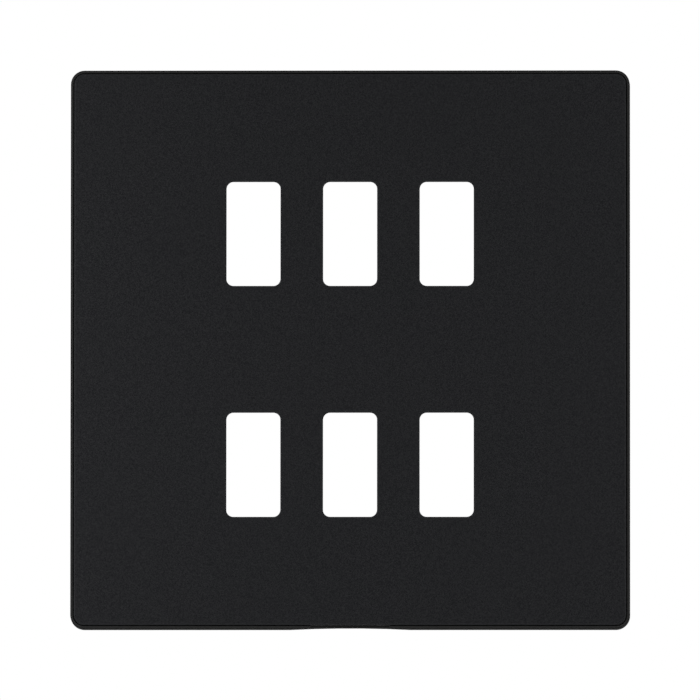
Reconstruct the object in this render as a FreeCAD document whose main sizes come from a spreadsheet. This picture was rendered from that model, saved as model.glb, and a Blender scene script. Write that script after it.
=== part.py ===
"""Clip-on switch plate for six grid modules, with its frame, steel grid and earth terminals.

Millimetres. X runs to the right, Z up, and the face looks along -Y. The wall is the plane Y = 0, so a
level below means a distance from the wall towards the room, which is -Y.
"""

import math
import os

import FreeCAD
import Part
import Sketcher

# Sizes that drive the model.
DRIVING = {
    # outline, from the photograph and the standard size of such plates
    "frame_side": 146.0,
    "frame_corner": 3.7,
    "frame_draft": 0.1,
    "rim_wall": 0.68,
    "rim_crest": 0.24,
    "rim_inner_break": 0.06,
    "foot_wall": 1.6,
    "shadow_line": 0.25,
    # thicknesses, in order from the wall to the face
    "yoke_sheet": 1.2,
    "web_wall": 2.0,
    "skirt_depth": 2.0,
    "face_wall": 1.8,
    "plate_proud": 0.8,
    # openings for the rockers
    "opening_width": 14.1,
    "opening_height": 27.25,
    "opening_corner": 1.85,
    "row_pitch": 60.3,
    "edge_break": 0.3,
    # inside of the front plate
    "skirt_wall": 1.2,
    "hollow_corner_least": 0.3,
    "rib_wall": 1.0,
    "rib_clearance": 0.4,
    "rib_beyond_rows": 9.2,
    "rib_beyond_columns": 19.7,
    # snap hooks and their slots
    "hook_width": 7.0,
    "hook_span": 90.0,
    "hook_wall": 1.2,
    "hook_relief": 1.0,
    "barb_reach": 0.6,
    "barb_land": 0.25,
    "hook_tip_wall": 0.8,
    "tip_clearance": 0.2,
    "catch_clearance": 0.1,
    "slot_clearance": 0.15,
    "flex_room": 0.65,
    "slot_end_clearance": 0.4,
    # prise notch in the bottom edge
    "scoop_width": 31.5,
    "scoop_depth": 0.4,
    "prise_width": 20.5,
    "prise_ramp_lift": 0.2,
    "prise_ramp_foot": 0.8,
    "prise_relief_width": 14.0,
    "prise_relief_depth": 1.3,
    # web of the frame
    "window_margin": 1.4,
    "window_corner": 2.0,
    "frame_rib_wall": 1.2,
    "frame_rib_pitch": 16.0,
    "frame_rib_clearance": 1.2,
    # fixing slots for the wall box screws
    "fixing_inset": 12.7,
    "fixing_pitch": 60.3,
    "fixing_slot_width": 4.0,
    "fixing_slot_length": 7.0,
    "head_pocket_margin": 2.3,
    "head_pocket_depth": 0.9,
    # steel grid
    "module_width": 22.8,
    "module_height": 38.0,
    "module_bar": 2.4,
    "side_bar": 9.4,
    "end_bar": 2.85,
    "panel_clip": 2.0,
    "ear_round": 5.5,
    "bend_relief": 2.0,
    "bend_inside": 0.6,
    "flange_depth": 6.0,
    "flange_setback": 4.0,
    "clip_notch_width": 8.0,
    "clip_notch_depth": 1.0,
    "plunge_wall": 0.8,
    "plunge_depth": 1.4,
    # screws that hold the frame to the grid
    "screw_inset": 3.6,
    "screw_core": 1.5,
    "screw_clearance": 0.2,
    "thread_clearance": 0.03,
    "screw_reach": 4.6,
    "screw_head_radius": 2.75,
    "screw_head_height": 1.5,
    "screw_bore_clearance": 0.35,
    "screw_bore_depth": 1.0,
    "recess_reach": 1.5,
    "recess_wall": 0.7,
    "recess_depth": 0.9,
    # earth terminals
    "terminal_spread": 12.6,
    "terminal_side": 7.0,
    "terminal_depth": 8.0,
    "terminal_chamfer": 0.4,
    "wire_hole": 1.7,
    "wire_level": 4.4,
    "clamp_core": 1.45,
    "clamp_head_radius": 2.7,
    "clamp_head_height": 1.9,
    "clamp_tip_clearance": 0.3,
    "clamp_slot_wall": 0.9,
    "clamp_slot_depth": 1.0,
    "spigot_radius": 1.75,
    "spigot_clearance": 0.03,
    "spigot_below": 0.1,
    # how far a cutting outline runs past what it cuts
    "overrun": 1.0,
}

# Sizes that follow from the driving ones.
DERIVED = {
    # levels
    "web_front": "yoke_sheet + web_wall",
    "face_back": "web_front + skirt_depth",
    "face_front": "face_back + face_wall",
    "rim_front": "face_front - plate_proud",
    "rim_height": "rim_front - web_front",
    "plate_depth": "face_front - web_front",
    "screw_seat": "web_front - screw_bore_depth",
    "screw_top": "screw_seat + screw_head_height",
    # places of the modules
    "column_pitch": "module_width + module_bar",
    "row_half": "row_pitch / 2",
    # frame outline
    "frame_half": "frame_side / 2",
    "draft_angle": "-atan(frame_draft / rim_front)",
    "rim_side": "frame_side - 2 * frame_draft",
    "rim_outer_break": "rim_wall - rim_crest - rim_inner_break",
    "seat_side": "rim_side - 2 * rim_wall",
    "seat_half": "seat_side / 2",
    "seat_corner": "frame_corner - frame_draft - rim_wall",
    "foot_side": "frame_side - 2 * foot_wall",
    "foot_corner": "frame_corner - foot_wall",
    "foot_half": "foot_side / 2",
    # front plate
    "plate_side": "seat_side - 2 * shadow_line",
    "plate_corner": "seat_corner - shadow_line",
    "plate_half": "plate_side / 2",
    "hollow_side": "plate_side - 2 * skirt_wall",
    "hollow_corner": "max(plate_corner - skirt_wall; hollow_corner_least)",
    "rib_drop": "face_back - max(web_front; screw_top) - rib_clearance",
    "rib_length": "plate_side - skirt_wall",
    "rib_x": "column_pitch + opening_width / 2 + rib_beyond_columns",
    "rib_z": "row_half + opening_height / 2 + rib_beyond_rows",
    # snap hooks
    "hook_half_span": "hook_span / 2",
    "hook_far": "plate_half - skirt_wall - hook_relief",
    "hook_near": "hook_far - hook_wall",
    "hook_tip_near": "hook_far - hook_tip_wall",
    "barb_near": "hook_near - barb_reach",
    "catch_level": "yoke_sheet - catch_clearance",
    "crest_level": "catch_level - barb_land",
    "hook_root": "face_back + face_wall / 2",
    "slot_near": "hook_near - slot_clearance",
    "slot_far": "hook_far + flex_room",
    "slot_middle": "(slot_near + slot_far) / 2",
    "slot_width": "slot_far - slot_near",
    "slot_length": "hook_width + 2 * slot_end_clearance",
    # prise notch
    "scoop_radius": "(scoop_width ^ 2 / 4 + scoop_depth ^ 2) / (2 * scoop_depth)",
    "scoop_centre": "frame_half + scoop_radius - scoop_depth",
    "prise_ramp_top": "web_front + prise_ramp_lift",
    "prise_front": "rim_front + overrun",
    "prise_below": "frame_half + overrun",
    "relief_middle": "plate_half - skirt_wall / 2",
    "relief_height": "skirt_wall + shadow_line",
    # web of the frame
    "window_width": "2 * column_pitch + module_width + 2 * window_margin",
    "window_height": "module_height + 2 * window_margin",
    "fixing_x": "frame_half - fixing_inset",
    "fixing_z": "fixing_pitch / 2",
    "fixing_radius": "fixing_slot_width / 2",
    "fixing_travel": "fixing_slot_length - fixing_slot_width",
    "head_pocket_radius": "fixing_radius + head_pocket_margin",
    # steel grid
    "panel_half_x": "column_pitch + module_width / 2 + side_bar",
    "panel_half_z": "row_half + module_height / 2 + end_bar",
    "panel_width": "2 * panel_half_x",
    "panel_height": "2 * panel_half_z",
    "flange_out": "panel_half_z + bend_relief",
    "flange_in": "flange_out - yoke_sheet",
    "flange_length": "panel_width - 2 * flange_setback",
    "tab_in": "panel_half_z - end_bar / 2",
    "tab_middle": "(tab_in + flange_out) / 2",
    "tab_height": "flange_out - tab_in",
    "flange_middle": "(flange_in + flange_out) / 2",
    "flange_reach": "flange_depth + yoke_sheet",
    "bend_outside": "bend_inside + yoke_sheet",
    "ear_travel": "fixing_x * 2",
    "notch_out": "module_height / 2 + clip_notch_depth / 2",
    "notch_high": "row_half + notch_out",
    "notch_low": "row_half - notch_out",
    "notch_height": "2 * clip_notch_depth",
    "frame_rib_from_z": "flange_out + frame_rib_clearance",
    "frame_rib_end": "foot_half + foot_wall / 2",
    "frame_rib_mid_z": "(frame_rib_from_z + frame_rib_end) / 2",
    "frame_rib_len_z": "frame_rib_end - frame_rib_from_z",
    "frame_rib_from_x": "panel_half_x + frame_rib_clearance",
    "frame_rib_mid_x": "(frame_rib_from_x + frame_rib_end) / 2",
    "frame_rib_len_x": "frame_rib_end - frame_rib_from_x",
    # screws that hold the frame to the grid
    "screw_x": "panel_half_x - screw_inset",
    "tapped_radius": "screw_core + thread_clearance",
    "plunge_radius": "tapped_radius + plunge_wall",
    "screw_hole_radius": "screw_core + screw_clearance",
    "screw_bore_radius": "screw_head_radius + screw_bore_clearance",
    "recess_half_wall": "recess_wall / 2",
    # earth terminals
    "clamp_hole_radius": "clamp_core + thread_clearance",
    "clamp_hole_depth": "terminal_depth - wire_level",
    "clamp_tip": "wire_level + clamp_tip_clearance",
    "clamp_reach": "terminal_depth - clamp_tip",
    "clamp_top": "terminal_depth + clamp_head_height",
    "terminal_span": "terminal_side + overrun",
    "clamp_slot_length": "2 * clamp_head_radius + overrun",
    "spigot_hole": "spigot_radius + spigot_clearance",
    "spigot_length": "yoke_sheet - spigot_below",
}

# Edges whose places differ by less than this count as one.
SAME_PLACE = 1e-3

doc = FreeCAD.newDocument("grid_switch_plate")
sizes = doc.addObject("Spreadsheet::Sheet", "sizes")
row = 1
for alias, value in DRIVING.items():
    sizes.set("A%d" % row, alias)
    sizes.set("B%d" % row, repr(value))
    sizes.setAlias("B%d" % row, alias)
    row += 1
doc.recompute()
for alias, formula in DERIVED.items():
    sizes.set("A%d" % row, alias)
    sizes.set("B%d" % row, "=" + formula)
    sizes.setAlias("B%d" % row, alias)
    row += 1
doc.recompute()


def bound(term):
    """Expression for a term such as "row_half" or "-row_half"."""
    if term.startswith("-"):
        return "-sizes." + term[1:]
    return "sizes." + term


def number(term):
    """Present value of a term; None stands for zero."""
    if term is None:
        return 0.0
    if term.startswith("-"):
        return -float(sizes.get(term[1:]))
    return float(sizes.get(term))


def new_body(name):
    body = doc.addObject("PartDesign::Body", name)
    body.Label = name
    return body


def origin_part(body, role):
    for item in body.Origin.OriginFeatures:
        if item.Role == role:
            return item
    raise ValueError(role)


def sketch_on(body, name, plane, level=None):
    """Sketch on an origin plane of the body, moved along the plane's normal to a level."""
    sketch = body.newObject("Sketcher::SketchObject", name)
    sketch.AttachmentSupport = [(origin_part(body, plane), "")]
    sketch.MapMode = "FlatFace"
    if level is not None:
        sketch.setExpression("AttachmentOffset.Base.z", bound(level))
    return sketch


def drive(sketch, kind, parts, term, name):
    """Dimension of a sketch, bound to a size of the sheet."""
    index = sketch.addConstraint(Sketcher.Constraint(kind, *parts, number(term)))
    sketch.renameConstraint(index, name)
    sketch.setExpression(".Constraints." + name, bound(term))


def hold_point(sketch, geo, pos, x_term, y_term, name):
    """Holds a point of the sketch at two terms, each measured from the origin."""
    if x_term is None:
        sketch.addConstraint(Sketcher.Constraint("PointOnObject", geo, pos, -2))
    else:
        drive(sketch, "DistanceX", (-1, 1, geo, pos), x_term, name + "_x")
    if y_term is None:
        sketch.addConstraint(Sketcher.Constraint("PointOnObject", geo, pos, -1))
    else:
        drive(sketch, "DistanceY", (-1, 1, geo, pos), y_term, name + "_y")


def middle_point(sketch, x_term, y_term, name):
    """Construction point at two terms."""
    spot = FreeCAD.Vector(number(x_term), number(y_term), 0)
    geo = sketch.addGeometry(Part.Point(spot), True)
    hold_point(sketch, geo, 1, x_term, y_term, name)
    return geo


def add_rectangle(sketch, name, x_term, y_term, width, height):
    """Sharp rectangle about a middle point."""
    middle = middle_point(sketch, x_term, y_term, name + "_mid")
    cx = number(x_term)
    cy = number(y_term)
    hw = number(width) / 2
    hh = number(height) / 2
    corners = [(-hw, -hh), (hw, -hh), (hw, hh), (-hw, hh)]
    points = [FreeCAD.Vector(cx + dx, cy + dy, 0) for dx, dy in corners]
    lines = []
    for i in range(4):
        lines.append(sketch.addGeometry(Part.LineSegment(points[i], points[(i + 1) % 4])))
    for i in range(4):
        sketch.addConstraint(Sketcher.Constraint("Coincident", lines[i], 2, lines[(i + 1) % 4], 1))
    for i in (0, 2):
        sketch.addConstraint(Sketcher.Constraint("Horizontal", lines[i]))
    for i in (1, 3):
        sketch.addConstraint(Sketcher.Constraint("Vertical", lines[i]))
    sketch.addConstraint(Sketcher.Constraint("Symmetric", lines[0], 1, lines[2], 1, middle, 1))
    drive(sketch, "DistanceX", (lines[0], 1, lines[0], 2), width, name + "_width")
    drive(sketch, "DistanceY", (lines[1], 1, lines[1], 2), height, name + "_height")


def add_rounded(sketch, name, x_term, y_term, width, height, corner):
    """Rectangle with rounded corners about a middle point."""
    middle = middle_point(sketch, x_term, y_term, name + "_mid")
    cx = number(x_term)
    cy = number(y_term)
    hw = number(width) / 2
    hh = number(height) / 2
    r = number(corner)
    ends = [
        ((-hw + r, -hh), (hw - r, -hh)),
        ((hw, -hh + r), (hw, hh - r)),
        ((hw - r, hh), (-hw + r, hh)),
        ((-hw, hh - r), (-hw, -hh + r)),
    ]
    spots = [(hw - r, -hh + r), (hw - r, hh - r), (-hw + r, hh - r), (-hw + r, -hh + r)]
    normal = FreeCAD.Vector(0, 0, 1)
    lines = []
    arcs = []
    for i in range(4):
        first = FreeCAD.Vector(cx + ends[i][0][0], cy + ends[i][0][1], 0)
        last = FreeCAD.Vector(cx + ends[i][1][0], cy + ends[i][1][1], 0)
        lines.append(sketch.addGeometry(Part.LineSegment(first, last)))
        centre = FreeCAD.Vector(cx + spots[i][0], cy + spots[i][1], 0)
        start = (i - 1) * math.pi / 2
        arc = Part.ArcOfCircle(Part.Circle(centre, normal, r), start, start + math.pi / 2)
        arcs.append(sketch.addGeometry(arc))
    for i in range(4):
        sketch.addConstraint(Sketcher.Constraint("Tangent", lines[i], 2, arcs[i], 1))
        sketch.addConstraint(Sketcher.Constraint("Tangent", arcs[i], 2, lines[(i + 1) % 4], 1))
    for i in (0, 2):
        sketch.addConstraint(Sketcher.Constraint("Horizontal", lines[i]))
    for i in (1, 3):
        sketch.addConstraint(Sketcher.Constraint("Vertical", lines[i]))
    for i in (1, 2, 3):
        sketch.addConstraint(Sketcher.Constraint("Equal", arcs[0], arcs[i]))
    drive(sketch, "Radius", (arcs[0],), corner, name + "_corner")
    sketch.addConstraint(Sketcher.Constraint("Symmetric", arcs[0], 3, arcs[2], 3, middle, 1))
    drive(sketch, "DistanceX", (lines[3], 1, lines[1], 1), width, name + "_width")
    drive(sketch, "DistanceY", (lines[0], 1, lines[2], 1), height, name + "_height")


def add_obround(sketch, name, x_term, y_term, travel, radius):
    """Slot with round ends, lying along the sketch's first axis."""
    middle = middle_point(sketch, x_term, y_term, name + "_mid")
    cx = number(x_term)
    cy = number(y_term)
    ht = number(travel) / 2
    r = number(radius)
    normal = FreeCAD.Vector(0, 0, 1)
    right = Part.Circle(FreeCAD.Vector(cx + ht, cy, 0), normal, r)
    left = Part.Circle(FreeCAD.Vector(cx - ht, cy, 0), normal, r)
    low_a = FreeCAD.Vector(cx - ht, cy - r, 0)
    low_b = FreeCAD.Vector(cx + ht, cy - r, 0)
    high_a = FreeCAD.Vector(cx + ht, cy + r, 0)
    high_b = FreeCAD.Vector(cx - ht, cy + r, 0)
    low = sketch.addGeometry(Part.LineSegment(low_a, low_b))
    east = sketch.addGeometry(Part.ArcOfCircle(right, -math.pi / 2, math.pi / 2))
    high = sketch.addGeometry(Part.LineSegment(high_a, high_b))
    west = sketch.addGeometry(Part.ArcOfCircle(left, math.pi / 2, 3 * math.pi / 2))
    sketch.addConstraint(Sketcher.Constraint("Tangent", low, 2, east, 1))
    sketch.addConstraint(Sketcher.Constraint("Tangent", east, 2, high, 1))
    sketch.addConstraint(Sketcher.Constraint("Tangent", high, 2, west, 1))
    sketch.addConstraint(Sketcher.Constraint("Tangent", west, 2, low, 1))
    sketch.addConstraint(Sketcher.Constraint("Horizontal", low))
    sketch.addConstraint(Sketcher.Constraint("Symmetric", west, 3, east, 3, middle, 1))
    drive(sketch, "DistanceX", (west, 3, east, 3), travel, name + "_travel")
    drive(sketch, "Radius", (east,), radius, name + "_radius")


def add_circle(sketch, name, x_term, y_term, radius):
    centre = FreeCAD.Vector(number(x_term), number(y_term), 0)
    normal = FreeCAD.Vector(0, 0, 1)
    geo = sketch.addGeometry(Part.Circle(centre, normal, number(radius)))
    hold_point(sketch, geo, 3, x_term, y_term, name)
    drive(sketch, "Radius", (geo,), radius, name + "_radius")


def add_polygon(sketch, name, terms):
    """Closed outline of straight lines through points given by terms."""
    points = [FreeCAD.Vector(number(tx), number(ty), 0) for tx, ty in terms]
    count = len(points)
    lines = []
    for i in range(count):
        lines.append(sketch.addGeometry(Part.LineSegment(points[i], points[(i + 1) % count])))
    for i in range(count):
        sketch.addConstraint(Sketcher.Constraint("Coincident", lines[i], 2, lines[(i + 1) % count], 1))
    for i in range(count):
        hold_point(sketch, lines[i], 1, terms[i][0], terms[i][1], "%s_%d" % (name, i))


def pad(body, name, sketch, length, backwards=False, both=False, taper=None):
    feature = body.newObject("PartDesign::Pad", name)
    feature.Profile = sketch
    feature.setExpression("Length", bound(length))
    feature.Reversed = backwards
    if taper is not None:
        feature.setExpression("TaperAngle", bound(taper))
    if both:
        feature.SideType = "Symmetric"
    doc.recompute()
    return feature


def pocket(body, name, sketch, length=None, forwards=False, both=False):
    """Cut towards the wall, or forwards towards the room; without a length, right through."""
    feature = body.newObject("PartDesign::Pocket", name)
    feature.Profile = sketch
    feature.Reversed = forwards
    if both:
        feature.SideType = "Symmetric"
    if length is None:
        feature.Type = "ThroughAll"
    else:
        feature.setExpression("Length", bound(length))
    doc.recompute()
    return feature


def picked_edges(body, wanted):
    """The body's last feature, with the names of its edges that pass a test."""
    base = body.Tip
    names = []
    for i, edge in enumerate(base.Shape.Edges):
        if wanted(edge):
            names.append("Edge%d" % (i + 1))
    return (base, names)


def fillet(body, name, radius, wanted):
    edges = picked_edges(body, wanted)
    feature = body.newObject("PartDesign::Fillet", name)
    feature.Base = edges
    feature.setExpression("Radius", bound(radius))
    doc.recompute()
    return feature


def chamfer(body, name, size, wanted):
    edges = picked_edges(body, wanted)
    feature = body.newObject("PartDesign::Chamfer", name)
    feature.Base = edges
    feature.setExpression("Size", bound(size))
    doc.recompute()
    return feature


def quarter_turns(body, name, original):
    """Four copies of a feature, a quarter turn apart about the axis of the plate."""
    feature = body.newObject("PartDesign::PolarPattern", name)
    feature.Originals = [original]
    feature.Axis = (origin_part(body, "Y_Axis"), [""])
    feature.Angle = 360
    feature.Occurrences = 4
    body.Tip = feature
    doc.recompute()
    return feature


def at_level(edge, level):
    """True when the whole edge lies at a level."""
    box = edge.BoundBox
    here = -number(level)
    return abs(box.YMin - here) < SAME_PLACE and abs(box.YMax - here) < SAME_PLACE


COLUMNS = ("-column_pitch", None, "column_pitch")
ROWS = ("row_half", "-row_half")
SIDES = ("", "-")


# Front plate: one moulding, open at the back.
plate = new_body("front_plate")
outline = sketch_on(plate, "plate_outline", "XZ_Plane", "web_front")
add_rounded(outline, "outline", None, None, "plate_side", "plate_side", "plate_corner")
pad(plate, "plate_block", outline, "plate_depth")

hollow = sketch_on(plate, "plate_hollow_outline", "XZ_Plane", "web_front")
add_rounded(hollow, "hollow", None, None, "hollow_side", "hollow_side", "hollow_corner")
pocket(plate, "plate_hollow", hollow, "skirt_depth", forwards=True)

upright = sketch_on(plate, "upright_ribs_outline", "XZ_Plane", "face_back")
for i, sign in enumerate(SIDES):
    add_rectangle(upright, "upright%d" % i, sign + "rib_x", None, "rib_wall", "rib_length")
pad(plate, "upright_ribs", upright, "rib_drop", backwards=True)

level_ribs = sketch_on(plate, "level_ribs_outline", "XZ_Plane", "face_back")
for i, term in enumerate((None, "rib_z", "-rib_z")):
    add_rectangle(level_ribs, "level%d" % i, None, term, "rib_length", "rib_wall")
pad(plate, "level_ribs", level_ribs, "rib_drop", backwards=True)

openings = sketch_on(plate, "openings_outline", "XZ_Plane", "face_front")
for i, z_term in enumerate(ROWS):
    for j, x_term in enumerate(COLUMNS):
        add_rounded(
            openings, "opening%d%d" % (i, j), x_term, z_term,
            "opening_width", "opening_height", "opening_corner",
        )
pocket(plate, "openings", openings)

relief = sketch_on(plate, "prise_relief_outline", "XZ_Plane", "web_front")
add_rectangle(relief, "relief", None, "-relief_middle", "prise_relief_width", "relief_height")
pocket(plate, "prise_relief", relief, "prise_relief_depth", forwards=True)

# Each hook is a finger from the back of the face, with a barb on its inner side.
hook_terms = [
    ("hook_far", "-hook_root"),
    ("hook_far", "-tip_clearance"),
    ("hook_tip_near", "-tip_clearance"),
    ("barb_near", "-crest_level"),
    ("barb_near", "-catch_level"),
    ("hook_near", "-catch_level"),
    ("hook_near", "-hook_root"),
]
for i, sign in enumerate(SIDES):
    profile = sketch_on(plate, "hook_profile_%d" % i, "XY_Plane", sign + "hook_half_span")
    add_polygon(profile, "hook", hook_terms)
    hook = pad(plate, "hook_%d" % i, profile, "hook_width", both=True)
    quarter_turns(plate, "hooks_%d" % i, hook)

chamfer(plate, "face_edges", "edge_break", lambda e: at_level(e, "face_front"))


# Mounting frame: one moulding with a seat for the front plate and a bay for the steel grid.
frame = new_body("mounting_frame")
outline = sketch_on(frame, "frame_outline", "XZ_Plane")
add_rounded(outline, "outline", None, None, "frame_side", "frame_side", "frame_corner")
pad(frame, "frame_block", outline, "rim_front", taper="draft_angle")

seat = sketch_on(frame, "seat_outline", "XZ_Plane", "rim_front")
add_rounded(seat, "seat", None, None, "seat_side", "seat_side", "seat_corner")
pocket(frame, "seat", seat, "rim_height")


def on_rim(edge, outside):
    """True for an edge of the rim's front: of its outline, or of the seat in it."""
    box = edge.BoundBox
    reach = max(abs(box.XMin), abs(box.XMax), abs(box.ZMin), abs(box.ZMax))
    return at_level(edge, "rim_front") and (reach > number("seat_half") + SAME_PLACE) == outside


chamfer(frame, "rim_outer_edge", "rim_outer_break", lambda e: on_rim(e, True))
chamfer(frame, "rim_inner_edge", "rim_inner_break", lambda e: on_rim(e, False))

bay = sketch_on(frame, "bay_outline", "XZ_Plane")
add_rounded(bay, "bay", None, None, "foot_side", "foot_side", "foot_corner")
pocket(frame, "bay", bay, "yoke_sheet", forwards=True)

ribs = sketch_on(frame, "frame_ribs_outline", "XZ_Plane")
for i, z_sign in enumerate(SIDES):
    for j, x_term in enumerate(("-frame_rib_pitch", None, "frame_rib_pitch")):
        add_rectangle(
            ribs, "end_rib%d%d" % (i, j), x_term, z_sign + "frame_rib_mid_z",
            "frame_rib_wall", "frame_rib_len_z",
        )
    for j, z_term in enumerate(("-frame_rib_pitch", None, "frame_rib_pitch")):
        add_rectangle(
            ribs, "side_rib%d%d" % (i, j), z_sign + "frame_rib_mid_x", z_term,
            "frame_rib_len_x", "frame_rib_wall",
        )
pad(frame, "frame_ribs", ribs, "yoke_sheet")

windows = sketch_on(frame, "windows_outline", "XZ_Plane", "web_front")
for i, z_term in enumerate(ROWS):
    add_rounded(windows, "window%d" % i, None, z_term, "window_width", "window_height", "window_corner")
pocket(frame, "windows", windows)

slots = sketch_on(frame, "hook_slots_outline", "XZ_Plane", "web_front")
for i, sign in enumerate(SIDES):
    add_rectangle(slots, "slot%d" % i, "slot_middle", sign + "hook_half_span", "slot_width", "slot_length")
hook_slots = pocket(frame, "hook_slots", slots, "web_wall")
quarter_turns(frame, "hook_slots_round", hook_slots)

fixings = sketch_on(frame, "fixing_slots_outline", "XZ_Plane", "web_front")
pockets = sketch_on(frame, "head_pockets_outline", "XZ_Plane", "web_front")
bores = sketch_on(frame, "screw_bores_outline", "XZ_Plane", "web_front")
holes = sketch_on(frame, "screw_holes_outline", "XZ_Plane", "web_front")
for i, x_sign in enumerate(SIDES):
    add_circle(bores, "bore%d" % i, x_sign + "screw_x", None, "screw_bore_radius")
    add_circle(holes, "hole%d" % i, x_sign + "screw_x", None, "screw_hole_radius")
    for j, z_sign in enumerate(SIDES):
        name = "corner%d%d" % (i, j)
        fixing_at = (x_sign + "fixing_x", z_sign + "fixing_z")
        add_obround(fixings, name, *fixing_at, "fixing_travel", "fixing_radius")
        add_obround(pockets, name, *fixing_at, "fixing_travel", "head_pocket_radius")
pocket(frame, "head_pockets", pockets, "head_pocket_depth")
pocket(frame, "fixing_slots", fixings, "web_wall")
pocket(frame, "screw_bores", bores, "screw_bore_depth")
pocket(frame, "screw_holes", holes, "web_wall")

scoop = sketch_on(frame, "scoop_outline", "XZ_Plane", "rim_front")
add_circle(scoop, "scoop", None, "-scoop_centre", "scoop_radius")
pocket(frame, "scoop", scoop)

# The prise notch has a ramp that leads a blade up behind the bottom edge of the front plate.
ramp_terms = [
    ("-prise_front", "-seat_half"),
    ("-prise_ramp_top", "-seat_half"),
    ("-prise_ramp_foot", "-frame_half"),
    ("-prise_ramp_foot", "-prise_below"),
    ("-prise_front", "-prise_below"),
]
prise = sketch_on(frame, "prise_outline", "YZ_Plane")
add_polygon(prise, "prise", ramp_terms)
pocket(frame, "prise_notch", prise, "prise_width", both=True)


# Steel grid: one pressing with six module windows, four ears and two folded flanges.
yoke = new_body("grid_yoke")
panel = sketch_on(yoke, "panel_outline", "XZ_Plane")
add_rectangle(panel, "panel", None, None, "panel_width", "panel_height")
pad(yoke, "panel", panel, "yoke_sheet")
chamfer(yoke, "panel_clips", "panel_clip", lambda e: e.BoundBox.YLength > SAME_PLACE)

for i, sign in enumerate(SIDES):
    ears = sketch_on(yoke, "ears_outline_%d" % i, "XZ_Plane")
    add_obround(ears, "ears", None, sign + "fixing_z", "ear_travel", "ear_round")
    pad(yoke, "ears_%d" % i, ears, "yoke_sheet")

tabs = sketch_on(yoke, "flange_tabs_outline", "XZ_Plane")
for i, sign in enumerate(SIDES):
    add_rectangle(tabs, "tab%d" % i, None, sign + "tab_middle", "flange_length", "tab_height")
pad(yoke, "flange_tabs", tabs, "yoke_sheet")

flanges = sketch_on(yoke, "flanges_outline", "XZ_Plane", "yoke_sheet")
for i, sign in enumerate(SIDES):
    add_rectangle(flanges, "flange%d" % i, None, sign + "flange_middle", "flange_length", "yoke_sheet")
pad(yoke, "flanges", flanges, "flange_reach", backwards=True)


def along_flange(edge, level, height):
    """True for a straight edge along a flange at a level and a distance from the middle height."""
    spot = edge.CenterOfMass
    right_length = abs(edge.BoundBox.XLength - number("flange_length")) < SAME_PLACE
    right_level = abs(spot.y + number(level)) < SAME_PLACE
    return right_length and right_level and abs(abs(spot.z) - number(height)) < SAME_PLACE


fillet(yoke, "bends_outside", "bend_outside", lambda e: along_flange(e, "yoke_sheet", "flange_out"))
fillet(yoke, "bends_inside", "bend_inside", lambda e: along_flange(e, None, "flange_in"))

modules = sketch_on(yoke, "modules_outline", "XZ_Plane", "yoke_sheet")
for i, z_term in enumerate(ROWS):
    for j, x_term in enumerate(COLUMNS):
        add_rectangle(modules, "module%d%d" % (i, j), x_term, z_term, "module_width", "module_height")
pocket(yoke, "modules", modules, "yoke_sheet")

notches = sketch_on(yoke, "clip_notches_outline", "XZ_Plane", "yoke_sheet")
for i, z_sign in enumerate(SIDES):
    for j, x_term in enumerate(COLUMNS):
        for k, height in enumerate(("notch_high", "notch_low")):
            add_rectangle(
                notches, "notch%d%d%d" % (i, j, k), x_term, z_sign + height,
                "clip_notch_width", "notch_height",
            )
pocket(yoke, "clip_notches", notches, "yoke_sheet")

plunges = sketch_on(yoke, "plunges_outline", "XZ_Plane")
tapped = sketch_on(yoke, "tapped_holes_outline", "XZ_Plane", "yoke_sheet")
ear_slots = sketch_on(yoke, "ear_slots_outline", "XZ_Plane", "yoke_sheet")
for i, x_sign in enumerate(SIDES):
    add_circle(plunges, "plunge%d" % i, x_sign + "screw_x", None, "plunge_radius")
    add_circle(tapped, "tapped%d" % i, x_sign + "screw_x", None, "tapped_radius")
    for j, z_sign in enumerate(SIDES):
        fixing_at = (x_sign + "fixing_x", z_sign + "fixing_z")
        add_obround(ear_slots, "ear%d%d" % (i, j), *fixing_at, "fixing_travel", "fixing_radius")
pad(yoke, "plunges", plunges, "plunge_depth", backwards=True)
pocket(yoke, "tapped_holes", tapped)
pocket(yoke, "ear_slots", ear_slots, "yoke_sheet")

spigots = sketch_on(yoke, "spigot_holes_outline", "XZ_Plane", "yoke_sheet")
for i, sign in enumerate(SIDES):
    add_circle(spigots, "spigot%d" % i, sign + "terminal_spread", None, "spigot_hole")
pocket(yoke, "spigot_holes", spigots, "yoke_sheet")


def frame_screw(name, x_term):
    """Pan head screw with a cross recess, its head on the floor of the frame's bore."""
    body = new_body(name)
    body.setExpression("Placement.Base.x", bound(x_term))
    head = sketch_on(body, name + "_head_outline", "XZ_Plane", "screw_seat")
    add_circle(head, "head", None, None, "screw_head_radius")
    pad(body, name + "_head", head, "screw_head_height")
    shank = sketch_on(body, name + "_shank_outline", "XZ_Plane", "screw_seat")
    add_circle(shank, "shank", None, None, "screw_core")
    pad(body, name + "_shank", shank, "screw_reach", backwards=True)
    recess = sketch_on(body, name + "_recess_outline", "XZ_Plane", "screw_top")
    add_cross(recess)
    pocket(body, name + "_recess", recess, "recess_depth")
    return body


def add_cross(sketch):
    """Plus sign with arms of one reach and wall."""
    reach = "recess_reach"
    wall = "recess_half_wall"
    terms = [
        (wall, wall), (wall, reach), ("-" + wall, reach), ("-" + wall, wall),
        ("-" + reach, wall), ("-" + reach, "-" + wall), ("-" + wall, "-" + wall),
        ("-" + wall, "-" + reach), (wall, "-" + reach), (wall, "-" + wall),
        (reach, "-" + wall), (reach, wall),
    ]
    add_polygon(sketch, "cross", terms)


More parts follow.
